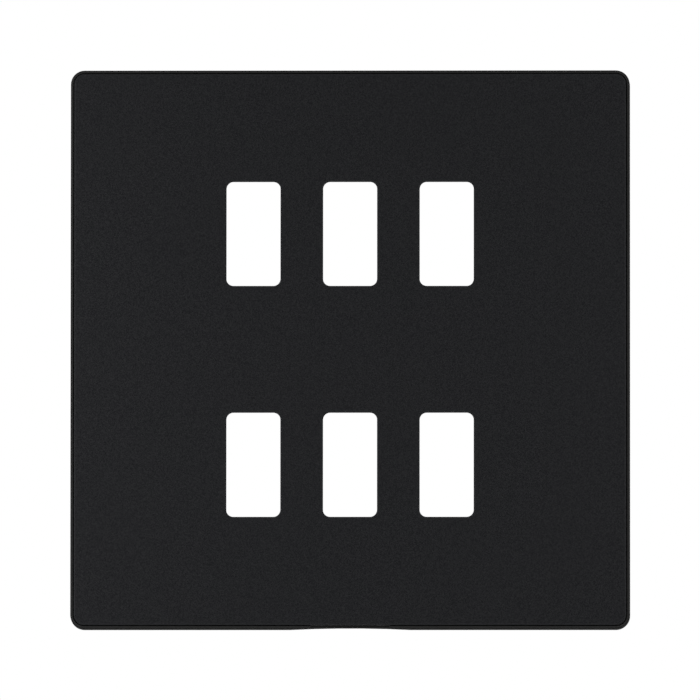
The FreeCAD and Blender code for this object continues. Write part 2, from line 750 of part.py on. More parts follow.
def clamp_screw(name, x_term):
    """Slotted cheese head screw, its head on the back of a terminal."""
    body = new_body(name)
    body.setExpression("Placement.Base.x", bound(x_term))
    head = sketch_on(body, name + "_head_outline", "XZ_Plane", "-terminal_depth")
    add_circle(head, "head", None, None, "clamp_head_radius")
    pad(body, name + "_head", head, "clamp_head_height", backwards=True)
    shank = sketch_on(body, name + "_shank_outline", "XZ_Plane", "-terminal_depth")
    add_circle(shank, "shank", None, None, "clamp_core")
    pad(body, name + "_shank", shank, "clamp_reach")
    slot = sketch_on(body, name + "_slot_outline", "XZ_Plane", "-clamp_top")
    add_rectangle(slot, "slot", None, None, "clamp_slot_length", "clamp_slot_wall")
    pocket(body, name + "_slot", slot, "clamp_slot_depth", forwards=True)
    return body


def earth_terminal(name, x_term):
    """Brass block with a wire hole, a clamp screw hole and a spigot swaged into the grid."""
    body = new_body(name)
    body.setExpression("Placement.Base.x", bound(x_term))
    block = sketch_on(body, name + "_block_outline", "XZ_Plane")
    add_rectangle(block, "block", None, None, "terminal_side", "terminal_side")
    pad(body, name + "_block", block, "terminal_depth", backwards=True)
    chamfer(body, name + "_chamfer", "terminal_chamfer", lambda e: at_level(e, "-terminal_depth"))
    spigot = sketch_on(body, name + "_spigot_outline", "XZ_Plane")
    add_circle(spigot, "spigot", None, None, "spigot_radius")
    pad(body, name + "_spigot", spigot, "spigot_length")
    wire = sketch_on(body, name + "_wire_outline", "XY_Plane")
    add_circle(wire, "wire", None, "wire_level", "wire_hole")
    pocket(body, name + "_wire", wire, "terminal_span", both=True)
    clamp = sketch_on(body, name + "_clamp_outline", "XZ_Plane", "-terminal_depth")
    add_circle(clamp, "clamp", None, None, "clamp_hole_radius")
    pocket(body, name + "_clamp", clamp, "clamp_hole_depth", forwards=True)
    return body


def group(name, members):
    """Equal pieces that share one node."""
    compound = doc.addObject("Part::Compound", name)
    compound.Label = name
    compound.Links = members
    doc.recompute()
    return compound


screws = [
    frame_screw("frame_screw_left", "-screw_x"),
    frame_screw("frame_screw_right", "screw_x"),
]
terminals = [
    earth_terminal("earth_terminal_left", "-terminal_spread"),
    earth_terminal("earth_terminal_right", "terminal_spread"),
]
clamps = [
    clamp_screw("clamp_screw_left", "-terminal_spread"),
    clamp_screw("clamp_screw_right", "terminal_spread"),
]
nodes = [plate, frame, yoke]
nodes.append(group("frame_screws", screws))
nodes.extend(terminals)
nodes.append(group("terminal_screws", clamps))
doc.recompute()

for item in doc.Objects:
    faults = [word for word in item.State if word in ("Invalid", "Error")]
    if faults:
        raise RuntimeError("%s: %s" % (item.Label, faults))

os.makedirs("parts", exist_ok=True)
for node in nodes:
    shape = node.Shape
    if shape.isNull() or not shape.isValid():
        raise RuntimeError(node.Label + " has no valid shape")
    wanted = len(node.Links) if hasattr(node, "Links") else 1
    if len(shape.Solids) != wanted:
        raise RuntimeError("%s has %d solids" % (node.Label, len(shape.Solids)))
    shape.exportStep(os.path.join("parts", node.Label + ".step"))
    print(node.Label, round(shape.Volume, 1), shape.BoundBox)
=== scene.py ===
import math

import bmesh
import bpy
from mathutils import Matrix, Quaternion, Vector


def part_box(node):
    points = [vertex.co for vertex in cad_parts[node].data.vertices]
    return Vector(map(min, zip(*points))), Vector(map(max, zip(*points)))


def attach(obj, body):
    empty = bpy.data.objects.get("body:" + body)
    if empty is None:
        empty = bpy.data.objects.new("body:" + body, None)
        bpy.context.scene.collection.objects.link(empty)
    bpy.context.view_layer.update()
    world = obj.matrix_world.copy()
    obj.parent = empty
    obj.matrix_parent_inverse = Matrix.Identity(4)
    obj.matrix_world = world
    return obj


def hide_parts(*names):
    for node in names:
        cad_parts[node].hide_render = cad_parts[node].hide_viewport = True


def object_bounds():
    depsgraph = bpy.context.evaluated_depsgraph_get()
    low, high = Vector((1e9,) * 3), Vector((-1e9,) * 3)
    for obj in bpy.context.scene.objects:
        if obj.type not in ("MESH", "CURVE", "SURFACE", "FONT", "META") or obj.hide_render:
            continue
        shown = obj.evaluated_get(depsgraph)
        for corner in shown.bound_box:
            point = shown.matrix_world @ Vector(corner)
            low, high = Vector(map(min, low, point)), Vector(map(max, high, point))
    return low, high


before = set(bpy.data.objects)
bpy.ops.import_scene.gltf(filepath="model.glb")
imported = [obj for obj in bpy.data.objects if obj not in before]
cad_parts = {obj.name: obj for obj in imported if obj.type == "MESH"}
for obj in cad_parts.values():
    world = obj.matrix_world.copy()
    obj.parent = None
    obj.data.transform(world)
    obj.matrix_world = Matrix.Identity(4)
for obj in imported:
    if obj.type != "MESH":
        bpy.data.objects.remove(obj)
cad_low, cad_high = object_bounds()

# Looks of a clip-on switch plate: finishes for its solids, threaded screws, light, floor and camera.
# Metres. X runs to the right, Z up, and the face looks along -Y, away from the wall.

MM = 0.001

# Camera: a long lens a little below and to the right of the middle of the face.
IMAGE_SIDE = 700
SCALE_AT_FACE = 0.2607 * MM
CAMERA_DISTANCE = 5.0
CAMERA_AZIMUTH = math.radians(0.9)
CAMERA_ELEVATION = math.radians(-3.44)
CAMERA_ROLL = math.radians(0.03)
AIM_BELOW_MIDDLE = 0.235 * MM
SENSOR_WIDTH = 36.0
CLIP_END = 50.0

# Light and floor. The floor lies just under the camera, which looks up past the part at white.
WHITE = (1.0, 1.0, 1.0, 1.0)
SOFT_LIGHT = 0.2
MIDDLE = (0.0, 0.0, 0.0)
BOTTOM_EDGE = (0.0, cad_low.y, cad_low.z)
STRIP_AIM = (0.0, 0.0, -0.01)
SIDE_STRIP = {"width": 0.08, "height": 0.28}
FLOOR_DROP = 0.31
FLOOR_SIDE = 14.0
FLOOR_COLOUR = (0.48, 0.48, 0.475, 1.0)
FLOOR_ROUGHNESS = 0.9
FLOOR_GLOW = 0.36

# Sockets of the mix node, which has one set for numbers and another for colours.
MIX_FACTOR = 0
MIX_NUMBERS = (2, 3)
MIX_NUMBER_OUT = 0
MIX_COLOURS = (6, 7)
MIX_COLOUR_OUT = 2


# Short forms for material nodes.
def new_material(name):
    """Material with its node tree and its surface shader."""
    material = bpy.data.materials.new(name)
    material.use_nodes = True
    tree = material.node_tree
    return material, tree, tree.nodes["Principled BSDF"]


def add_node(tree, kind, inputs=None, **settings):
    """Node with settings, and with inputs that are either values or other nodes' outputs."""
    node = tree.nodes.new(kind)
    for key, value in settings.items():
        setattr(node, key, value)
    for key, value in (inputs or {}).items():
        if isinstance(value, bpy.types.NodeSocket):
            tree.links.new(value, node.inputs[key])
        else:
            node.inputs[key].default_value = value
    return node


def place(tree):
    """Place on the part itself, so that the finish moves with it."""
    return add_node(tree, "ShaderNodeTexCoord").outputs["Object"]


def stretched(tree, spot, scale):
    """Place scaled differently along each axis."""
    node = add_node(tree, "ShaderNodeMapping", {"Vector": spot, "Scale": scale})
    return node.outputs["Vector"]


def noise(tree, spot, feature, detail, roughness=0.5):
    """Soft noise whose blotches are about as wide as the feature, in metres."""
    inputs = {"Vector": spot, "Scale": 1.0 / feature, "Detail": detail, "Roughness": roughness}
    return add_node(tree, "ShaderNodeTexNoise", inputs).outputs["Fac"]


def ranged(tree, value, from_low, from_high, to_low, to_high):
    """Value taken from one range to another and held at its ends."""
    inputs = {
        "Value": value, "From Min": from_low, "From Max": from_high,
        "To Min": to_low, "To Max": to_high,
    }
    return add_node(tree, "ShaderNodeMapRange", inputs).outputs["Result"]


NOISE_LOW = 0.3
NOISE_HIGH = 0.7


def spread(tree, value, low=0.0, high=1.0):
    """Noise taken from the range that most of it lies in to another one."""
    return ranged(tree, value, NOISE_LOW, NOISE_HIGH, low, high)


def patches(tree, value, start, full, share=1.0):
    """Share that begins where noise passes a start and stops growing where the noise is full."""
    return ranged(tree, value, start, full, 0.0, share)


def maths(tree, operation, first, second):
    """Sum, product or the like of two values."""
    return add_node(tree, "ShaderNodeMath", {0: first, 1: second}, operation=operation).outputs[0]


def blended(tree, factor, first, second):
    """Number between two numbers."""
    first_slot, second_slot = MIX_NUMBERS
    inputs = {MIX_FACTOR: factor, first_slot: first, second_slot: second}
    return add_node(tree, "ShaderNodeMix", inputs).outputs[MIX_NUMBER_OUT]


def mixed(tree, factor, first, second):
    """Colour between two colours."""
    node = add_node(tree, "ShaderNodeMix", {MIX_FACTOR: factor}, data_type="RGBA")
    for slot, value in zip(MIX_COLOURS, (first, second)):
        if isinstance(value, bpy.types.NodeSocket):
            tree.links.new(value, node.inputs[slot])
        else:
            node.inputs[slot].default_value = (*value, 1.0)
    return node.outputs[MIX_COLOUR_OUT]


def bumped(tree, shader, height, depth, strength, under=None):
    """Bump of a depth in metres on the shader, laid over an earlier one."""
    inputs = {"Height": height, "Distance": depth, "Strength": strength}
    if under is not None:
        inputs["Normal"] = under
    node = add_node(tree, "ShaderNodeBump", inputs)
    tree.links.new(node.outputs["Normal"], shader.inputs["Normal"])
    return node.outputs["Normal"]


FLAT_DOT = 1.0
EDGE_DOT = 0.75


def with_painted_highlight(tree, colour, highlight_colour, reach, share):
    """Colour that turns to a painted highlight colour, up to a share, within a reach of sharp edges."""
    soft = add_node(tree, "ShaderNodeBevel", {"Radius": reach}, samples=4).outputs["Normal"]
    own = add_node(tree, "ShaderNodeNewGeometry").outputs["Normal"]
    dot = add_node(tree, "ShaderNodeVectorMath", {0: soft, 1: own}, operation="DOT_PRODUCT")
    # Painted highlight: it grows where the rounded normal turns away from the face's own.
    edge_highlight = ranged(tree, dot.outputs["Value"], FLAT_DOT, EDGE_DOT, 0.0, share)
    return mixed(tree, edge_highlight, colour, highlight_colour)


OPEN_SKY = 0.85
SHUT_SKY = 0.25


def with_painted_shade(tree, colour, shade_colour, reach, share):
    """Colour that turns to a painted shade colour, up to a share, deep in slots, holes and inner
    corners.
    """
    sky = add_node(tree, "ShaderNodeAmbientOcclusion", {"Distance": reach}, samples=8).outputs["AO"]
    # Painted shade: it grows where little of the surroundings is open to the surface.
    crevice_shade = ranged(tree, sky, OPEN_SKY, SHUT_SKY, 0.0, share)
    return mixed(tree, crevice_shade, colour, shade_colour)


PIN_PITCH = 26 * MM
PIN_SHARE = 0.6
PIN_RIM = 0.9


def pin_marks(tree, spot, radius):
    """Share that is 1 on the round marks that a mould's ejector pins leave, on a square grid."""
    across = stretched(tree, spot, (1.0, 0.0, 1.0))
    inputs = {0: across, 1: (PIN_PITCH, PIN_PITCH, PIN_PITCH), 2: (0.0, 0.0, 0.0)}
    tile = add_node(tree, "ShaderNodeVectorMath", inputs, operation="WRAP").outputs["Vector"]
    middle = (PIN_PITCH / 2, 0.0, PIN_PITCH / 2)
    apart = add_node(tree, "ShaderNodeVectorMath", {0: tile, 1: middle}, operation="DISTANCE")
    return ranged(tree, apart.outputs["Value"], radius, radius * PIN_RIM, 0.0, 1.0)


def behind(tree, spot, level, width):
    """Share that goes from 0 to 1 where the place passes a level towards the wall."""
    parts = add_node(tree, "ShaderNodeSeparateXYZ", {"Vector": spot})
    return ranged(tree, parts.outputs["Y"], level - width, level + width, 0.0, 1.0)


BACK_START = 0.3
BACK_FULL = 0.8


def painted_light_on_back(tree, share):
    """Share of painted light, reached on faces that look at the wall, and 0 on faces that look along it
    or away.
    """
    normal = add_node(tree, "ShaderNodeNewGeometry").outputs["Normal"]
    parts = add_node(tree, "ShaderNodeSeparateXYZ", {"Vector": normal})
    return ranged(tree, parts.outputs["Y"], BACK_START, BACK_FULL, 0.0, share)


# Finish of the front plate. All colours of finishes are linear red, green and blue.
MATT_SPECULAR = 0.03
FACE_WALL = 1.8 * MM
PAINT_DARK = (0.0092, 0.0095, 0.0108)
PAINT_LIGHT = (0.0226, 0.0230, 0.0244)
PAINT_CLOUD = (0.0162, 0.0165, 0.0177)
# Colour of the painted highlight along the plate's edges.
PLATE_PAINTED_HIGHLIGHT = (0.030, 0.0304, 0.032)
CLOUD_SHARE = 0.18
BARE_DARK = (0.015, 0.015, 0.0153)
BARE_LIGHT = (0.024, 0.024, 0.0244)
BARE_PIN = (0.032, 0.032, 0.0324)
ALONG_X = (0.25, 1.0, 1.0)


def plate_paint(face_back):
    """Matt bluish black paint with a fine speckle on the face and a painted highlight along its edges;
    bare moulding behind it.
    """
    material, tree, shader = new_material("plate_paint")
    spot = place(tree)
    speckle = noise(tree, spot, feature=0.30 * MM, detail=1.0, roughness=0.6)
    cloud = noise(tree, spot, feature=55 * MM, detail=3.0)
    paint = mixed(tree, spread(tree, speckle), PAINT_DARK, PAINT_LIGHT)
    paint = mixed(tree, spread(tree, cloud, high=CLOUD_SHARE), paint, PAINT_CLOUD)
    # Painted highlight: the paint is lightened within 0.35 mm of the plate's sharp edges.
    paint = with_painted_highlight(tree, paint, PLATE_PAINTED_HIGHLIGHT, reach=0.35 * MM, share=0.8)
    flow = noise(tree, stretched(tree, spot, ALONG_X), feature=4 * MM, detail=4.0)
    pins = pin_marks(tree, spot, radius=1.6 * MM)
    bare = mixed(tree, flow, BARE_DARK, BARE_LIGHT)
    bare = mixed(tree, maths(tree, "MULTIPLY", pins, PIN_SHARE), bare, BARE_PIN)
    inside = behind(tree, spot, face_back, width=0.1 * MM)
    tree.links.new(mixed(tree, inside, paint, bare), shader.inputs["Base Color"])
    paint_rough = spread(tree, speckle, low=0.78, high=0.92)
    bare_rough = spread(tree, flow, low=0.38, high=0.52)
    tree.links.new(blended(tree, inside, paint_rough, bare_rough), shader.inputs["Roughness"])
    shader.inputs["Specular IOR Level"].default_value = MATT_SPECULAR
    orange_peel = bumped(tree, shader, speckle, depth=0.02 * MM, strength=0.5)
    inside_pins = maths(tree, "MULTIPLY", pins, inside)
    bumped(tree, shader, inside_pins, depth=0.12 * MM, strength=0.8, under=orange_peel)
    return material


# Finish of the mounting frame.
FRAME_DARK = (0.0080, 0.0080, 0.0080)
FRAME_LIGHT = (0.0150, 0.0150, 0.0149)
FRAME_CLOUD = (0.0130, 0.0130, 0.0128)
# Colour of the painted highlight on the frame's crest, and depth of the front band it covers.
CREST_PAINTED_HIGHLIGHT = (0.0270, 0.0270, 0.0268)
CREST_DEPTH = 0.12 * MM
# Colours of the painted light on the frame's faces that look at the wall, and of the pin marks on them.
REAR_LIT_DARK = (0.0170, 0.0170, 0.0171)
REAR_LIT_LIGHT = (0.0300, 0.0300, 0.0301)
REAR_LIT_PIN = (0.040, 0.040, 0.0402)


def frame_black(crest, web_back):
    """Plain black moulding: fine spark-eroded grain, a painted highlight on the crest, and painted light
    on the faces that look at the wall, which carry the pin marks.
    """
    material, tree, shader = new_material("frame_black")
    spot = place(tree)
    grain = noise(tree, spot, feature=0.22 * MM, detail=2.0, roughness=0.6)
    cloud = noise(tree, spot, feature=30 * MM, detail=4.0)
    colour = mixed(tree, spread(tree, grain), FRAME_DARK, FRAME_LIGHT)
    colour = mixed(tree, patches(tree, cloud, start=0.35, full=0.7, share=0.3), colour, FRAME_CLOUD)
    # Painted highlight: the crest, the frame's front band, is lightened over most of its length.
    below_crest = behind(tree, spot, crest + CREST_DEPTH, width=0.05 * MM)
    on_crest = maths(tree, "SUBTRACT", 1.0, below_crest)
    crest_highlight = maths(tree, "MULTIPLY", spread(tree, cloud, low=0.75), on_crest)
    colour = mixed(tree, crest_highlight, colour, CREST_PAINTED_HIGHLIGHT)
    pins = pin_marks(tree, spot, radius=1.9 * MM)
    # Painted light: faces that look at the wall get a lighter copy of the black, with the real pin marks
    # on it.
    back = mixed(tree, spread(tree, grain), REAR_LIT_DARK, REAR_LIT_LIGHT)
    back = mixed(tree, maths(tree, "MULTIPLY", pins, PIN_SHARE), back, REAR_LIT_PIN)
    colour = mixed(tree, painted_light_on_back(tree, share=0.9), colour, back)
    tree.links.new(colour, shader.inputs["Base Color"])
    fine_rough = spread(tree, grain, low=-0.05, high=0.05)
    rough = maths(tree, "ADD", fine_rough, spread(tree, cloud, low=0.80, high=0.92))
    tree.links.new(rough, shader.inputs["Roughness"])
    shader.inputs["Specular IOR Level"].default_value = MATT_SPECULAR
    eroded = bumped(tree, shader, grain, depth=0.015 * MM, strength=0.5)
    rear_pins = maths(tree, "MULTIPLY", pins, behind(tree, spot, web_back, width=0.2 * MM))
    bumped(tree, shader, rear_pins, depth=0.1 * MM, strength=0.8, under=eroded)
    return material


# Finish of the steel grid.
ZINC_DARK = (0.34, 0.35, 0.355)
ZINC_LIGHT = (0.50, 0.51, 0.51)
ZINC_BLUE = (0.40, 0.42, 0.47)
ZINC_STRAW = (0.50, 0.47, 0.39)
# Colours of the painted highlight on edges and of the painted shade in crevices.
ZINC_PAINTED_HIGHLIGHT = (0.62, 0.62, 0.61)
ZINC_PAINTED_SHADE = (0.16, 0.16, 0.155)
ALONG_ROLLING = (0.04, 1.0, 1.0)


def zinc_sheet():
    """Bright zinc on rolled sheet: long streaks, bluish and straw passivation, a painted highlight on
    the edges and painted shade in crevices.
    """
    material, tree, shader = new_material("zinc_sheet")
    spot = place(tree)
    rolling = stretched(tree, spot, ALONG_ROLLING)
    streak = noise(tree, rolling, feature=0.5 * MM, detail=5.0, roughness=0.6)
    spangle = noise(tree, spot, feature=1.6 * MM, detail=3.0)
    cloud = noise(tree, spot, feature=22 * MM, detail=3.0)
    colour = mixed(tree, spread(tree, streak), ZINC_DARK, ZINC_LIGHT)
    colour = mixed(tree, patches(tree, cloud, start=0.4, full=0.75, share=0.5), colour, ZINC_BLUE)
    colour = mixed(tree, patches(tree, spangle, start=0.55, full=0.8, share=0.4), colour, ZINC_STRAW)
    # Painted highlight on the edges, then painted shade in slots, holes and inner corners.
    colour = with_painted_highlight(tree, colour, ZINC_PAINTED_HIGHLIGHT, reach=0.25 * MM, share=0.5)
    colour = with_painted_shade(tree, colour, ZINC_PAINTED_SHADE, reach=1.5 * MM, share=0.6)
    tree.links.new(colour, shader.inputs["Base Color"])
    shader.inputs["Metallic"].default_value = 1.0
    streak_rough = spread(tree, streak, high=0.12)
    rough = maths(tree, "ADD", streak_rough, spread(tree, cloud, low=0.30, high=0.40))
    tree.links.new(rough, shader.inputs["Roughness"])
    rolled = bumped(tree, shader, streak, depth=0.012 * MM, strength=0.5)
    bumped(tree, shader, spangle, depth=0.02 * MM, strength=0.35, under=rolled)
    return material


# Finish of the earth terminals.
BRASS_DARK = (0.60, 0.44, 0.19)
BRASS_LIGHT = (0.74, 0.56, 0.27)
BRASS_TARNISH = (0.50, 0.34, 0.14)
# Colours of the painted highlight on edges and of the painted shade in crevices.
BRASS_PAINTED_HIGHLIGHT = (0.84, 0.67, 0.36)
BRASS_PAINTED_SHADE = (0.16, 0.10, 0.04)
ALONG_CUT = (1.0, 0.05, 1.0)


def terminal_brass():
    """Machined brass: fine cutter lines, a little tarnish in patches, a painted highlight on the edges
    and painted shade in crevices.
    """
    material, tree, shader = new_material("terminal_brass")
    spot = place(tree)
    cutter = noise(tree, stretched(tree, spot, ALONG_CUT), feature=0.14 * MM, detail=2.0)
    tarnish = noise(tree, spot, feature=3.2 * MM, detail=4.0)
    colour = mixed(tree, patches(tree, cutter, start=0.2, full=0.8), BRASS_DARK, BRASS_LIGHT)
    colour = mixed(tree, patches(tree, tarnish, start=0.45, full=0.75, share=0.6), colour, BRASS_TARNISH)
    # Painted highlight on the edges, then painted shade in slots, holes and inner corners.
    colour = with_painted_highlight(tree, colour, BRASS_PAINTED_HIGHLIGHT, reach=0.3 * MM, share=0.7)
    colour = with_painted_shade(tree, colour, BRASS_PAINTED_SHADE, reach=1.5 * MM, share=0.8)
    tree.links.new(colour, shader.inputs["Base Color"])
    shader.inputs["Metallic"].default_value = 1.0
    tarnish_rough = ranged(tree, tarnish, from_low=0.4, from_high=0.7, to_low=0.24, to_high=0.42)
    rough = maths(tree, "ADD", spread(tree, cutter, high=0.1), tarnish_rough)
    tree.links.new(rough, shader.inputs["Roughness"])
    bumped(tree, shader, cutter, depth=0.004 * MM, strength=0.4)
    return material


# Finish of the screws.
STEEL_DARK = (0.36, 0.36, 0.35)
STEEL_LIGHT = (0.52, 0.52, 0.50)
STEEL_DULL = (0.44, 0.41, 0.34)
# Colours of the painted highlight on edges and of the painted shade in recesses.
STEEL_PAINTED_HIGHLIGHT = (0.66, 0.66, 0.64)
STEEL_PAINTED_SHADE = (0.075, 0.070, 0.062)
ROUND_THE_AXIS = (0.3, 1.0, 0.3)


def screw_steel():
    """Zinc plated screw: turning lines round the axis, dull patches in the plating, a painted highlight
    on the edges and painted shade in the recesses.
    """
    material, tree, shader = new_material("screw_steel")
    spot = place(tree)
    lathe = stretched(tree, spot, ROUND_THE_AXIS)
    turning = noise(tree, lathe, feature=0.12 * MM, detail=3.0, roughness=0.6)
    patch = noise(tree, spot, feature=1.1 * MM, detail=4.0)
    colour = mixed(tree, spread(tree, turning), STEEL_DARK, STEEL_LIGHT)
    colour = mixed(tree, patches(tree, patch, start=0.45, full=0.75, share=0.5), colour, STEEL_DULL)
    # Painted highlight on the edges, then painted shade in the recess, slot and thread roots.
    colour = with_painted_highlight(tree, colour, STEEL_PAINTED_HIGHLIGHT, reach=0.15 * MM, share=0.6)
    colour = with_painted_shade(tree, colour, STEEL_PAINTED_SHADE, reach=0.9 * MM, share=0.85)
    tree.links.new(colour, shader.inputs["Base Color"])
    shader.inputs["Metallic"].default_value = 1.0
    turning_rough = spread(tree, turning, high=0.1)
    rough = maths(tree, "ADD", turning_rough, spread(tree, patch, low=0.22, high=0.36))
    tree.links.new(rough, shader.inputs["Roughness"])
    bumped(tree, shader, turning, depth=0.008 * MM, strength=0.5)
    return material


# Screws with real threads.
TURN_STEPS = 56
STEPS_PER_PITCH = 10
FLANK_STEEPNESS = 1.45
ROOT_FLAT = 0.2
SEAT_ROUND = 0.12 * MM
SIDE_TAPER = 0.25
SLIVER = 0.002 * MM
CRISP_ANGLE = math.radians(32)
TO_WALL = 1.0
OFF_WALL = -1.0


def thread_height(turns):
    """Height from 0 at the root to 1 at the crest, after a number of turns of the helix."""
    phase = turns % 1.0
    ridge = 1.0 - abs(2.0 * phase - 1.0)
    return min(1.0, max(0.0, FLANK_STEEPNESS * ridge - ROOT_FLAT))


def screw_rings(head, shank):
    """Rings from the top of the head to the tip: distance below the seat, radius, depth of thread."""
    top = -head["height"]
    top_flat = head["radius"] - head["round"]
    rings = [(top, 0.0, 0.0)]
    for i in range(head["steps"] + 1):
        angle = math.pi / 2 * (1.0 - i / head["steps"])
        drop = head["round"] * (1.0 - math.sin(angle))
        rings.append((top + drop, top_flat + head["round"] * math.cos(angle), 0.0))
    rings.append((-SEAT_ROUND, head["radius"], 0.0))
    rings.append((0.0, head["radius"] - SEAT_ROUND, 0.0))
    rings.append((0.0, shank["radius"], 0.0))
    count = round(shank["length"] / shank["pitch"] * STEPS_PER_PITCH)
    for i in range(1, count + 1):
        below = shank["length"] * i / count
        lead = min(1.0, (shank["length"] - below) / shank["pitch"])
        start = min(1.0, below / shank["pitch"])
        radius = shank["radius"] - shank["point"] * (1.0 - lead)
        rings.append((below, radius, shank["depth"] * start))
    rings.append((shank["length"], 0.0, 0.0))
    return rings


def screw_mesh(name, head, shank, seat, way):
    """Closed mesh of a screw on the line x = 0, z = 0, its seat at a y and its shank going one way."""
    body = bmesh.new()
    rings = []
    for below, radius, depth in screw_rings(head, shank):
        level = seat + way * below
        if radius == 0.0:
            rings.append([body.verts.new((0.0, level, 0.0))])
            continue
        ring = []
        for step in range(TURN_STEPS):
            share = step / TURN_STEPS
            height = thread_height(below / shank["pitch"] - share)
            out = radius - depth * (1.0 - height)
            angle = 2.0 * math.pi * share
            ring.append(body.verts.new((out * math.cos(angle), level, out * math.sin(angle))))
        rings.append(ring)
    for upper, lower in zip(rings, rings[1:]):
        for step in range(TURN_STEPS):
            after = (step + 1) % TURN_STEPS
            corners = [upper[step % len(upper)], upper[after % len(upper)],
                       lower[after % len(lower)], lower[step % len(lower)]]
            # Where a ring is a single point, its corner is named once.
            body.faces.new(list(dict.fromkeys(corners)))
    bmesh.ops.recalc_face_normals(body, faces=body.faces)
    mesh = bpy.data.meshes.new(name)
    body.to_mesh(mesh)
    body.free()
    return mesh


def link_piece(name, mesh, at_x):
    """New piece in the scene, moved along X."""
    piece = bpy.data.objects.new(name, mesh)
    piece.location.x = at_x
    bpy.context.scene.collection.objects.link(piece)
    return piece


def bar_cutter(slot, top, way):
    """Bar that cuts one slot: it goes down from a top level, and its ends and sides taper."""
    body = bmesh.new()
    corners = []
    for below, shrink in ((-slot["depth"], 0.0), (slot["depth"], slot["taper"])):
        level = top + way * below
        half_length = slot["length"] / 2 - shrink
        half_wall = slot["wall"] / 2 - shrink * SIDE_TAPER
        corners.append([body.verts.new((sx * half_length, level, sz * half_wall))
                        for sx, sz in ((-1, -1), (1, -1), (1, 1), (-1, 1))])
    upper, lower = corners
    body.faces.new(upper)
    body.faces.new(lower)
    for i in range(len(upper)):
        after = (i + 1) % len(upper)
        body.faces.new((upper[i], upper[after], lower[after], lower[i]))
    bmesh.ops.recalc_face_normals(body, faces=body.faces)
    mesh = bpy.data.meshes.new("cutter")
    body.to_mesh(mesh)
    body.free()
    return mesh


def cut_away(piece, cutter_mesh, turn=0.0):
    """Takes a cutter out of a piece for good."""
    cutter = link_piece("cutter", cutter_mesh, piece.location.x)
    cutter.rotation_euler.y = turn
    cut = piece.modifiers.new("cut", "BOOLEAN")
    cut.object = cutter
    cut.operation = "DIFFERENCE"
    cut.solver = "EXACT"
    bpy.context.view_layer.update()
    ready = piece.evaluated_get(bpy.context.evaluated_depsgraph_get())
    piece.data = bpy.data.meshes.new_from_object(ready)
    piece.modifiers.remove(cut)
    bpy.data.objects.remove(cutter)


def clear_slivers(mesh):
    """Joins corners that a cut has left almost on one spot, so that no face is without area."""
    body = bmesh.new()
    body.from_mesh(mesh)
    bmesh.ops.dissolve_degenerate(body, dist=SLIVER, edges=body.edges)
    body.to_mesh(mesh)
    body.free()


def smooth_by_angle(mesh, limit):
    """Smooth shading, with edges sharper than the limit kept crisp."""
    mesh.polygons.foreach_set("use_smooth", [True] * len(mesh.polygons))
    mesh.set_sharp_from_angle(angle=limit)


def finish_screw(piece, material, node):
    """Cleans and dresses a screw, and has it ride on the base in place of its solid."""
    clear_slivers(piece.data)
    smooth_by_angle(piece.data, CRISP_ANGLE)
    piece.data.materials.clear()
    piece.data.materials.append(material)
    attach(piece, "base")
    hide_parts(node)


def frame_screws(material):
    """Pan head screws with a cross recess, which hold the frame to the grid."""
    low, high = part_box("frame_screws")
    head = {"radius": high.z, "height": 1.5 * MM, "round": 0.62 * MM, "steps": 8}
    seat = low.y + head["height"]
    shank = {"radius": 1.5 * MM, "length": high.y - seat, "pitch": 0.5 * MM, "depth": 0.27 * MM,
             "point": 0.3 * MM}
    recess = {"length": 3.0 * MM, "wall": 0.7 * MM, "depth": 0.9 * MM, "taper": 0.35 * MM}
    at_x = high.x - head["radius"]
    for side, x in (("left", -at_x), ("right", at_x)):
        name = "frame_screw_" + side
        piece = link_piece(name, screw_mesh(name, head, shank, seat, TO_WALL), x)
        for turn in (0.0, math.pi / 2):
            cut_away(piece, bar_cutter(recess, low.y, TO_WALL), turn)
        finish_screw(piece, material, "frame_screws")


def terminal_screws(material):
    """Slotted cheese head screws that clamp the earth wires."""
    low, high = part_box("terminal_screws")
    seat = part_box("earth_terminal_right")[1].y
    head = {"radius": high.z, "height": high.y - seat, "round": 0.35 * MM, "steps": 6}
    shank = {"radius": 1.45 * MM, "length": seat - low.y, "pitch": 0.5 * MM, "depth": 0.26 * MM,
             "point": 0.25 * MM}
    slot = {"length": 8.0 * MM, "wall": 0.9 * MM, "depth": 1.0 * MM, "taper": 0.0}
    at_x = high.x - head["radius"]
    for side, x in (("left", -at_x), ("right", at_x)):
        name = "clamp_screw_" + side
        piece = link_piece(name, screw_mesh(name, head, shank, seat, OFF_WALL), x)
        cut_away(piece, bar_cutter(slot, high.y, OFF_WALL))
        finish_screw(piece, material, "terminal_screws")


def dress(node, material):
    """Finish for a solid that stays as it is."""
    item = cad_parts[node]
    item.data.materials.clear()
    item.data.materials.append(material)


# Stage.
def seen_share(tree):
    """1 for what the eye, a reflection or a clear piece sees, 0 for light that falls on surfaces."""
    path = add_node(tree, "ShaderNodeLightPath")
    seen = maths(tree, "MAXIMUM", path.outputs["Is Camera Ray"], path.outputs["Is Glossy Ray"])
    return maths(tree, "MAXIMUM", seen, path.outputs["Is Transmission Ray"])


def studio_world():
    """White to the eye and in reflections, a plain soft light on the surfaces."""
    world = bpy.data.worlds.new("studio")
    bpy.context.scene.world = world
    world.use_nodes = True
    tree = world.node_tree
    soft = add_node(tree, "ShaderNodeBackground", {"Color": WHITE, "Strength": SOFT_LIGHT})
    white = add_node(tree, "ShaderNodeBackground", {"Color": WHITE, "Strength": 1.0})
    inputs = {0: seen_share(tree), 1: soft.outputs[0], 2: white.outputs[0]}
    both = add_node(tree, "ShaderNodeMixShader", inputs)
    tree.links.new(both.outputs[0], tree.nodes["World Output"].inputs["Surface"])


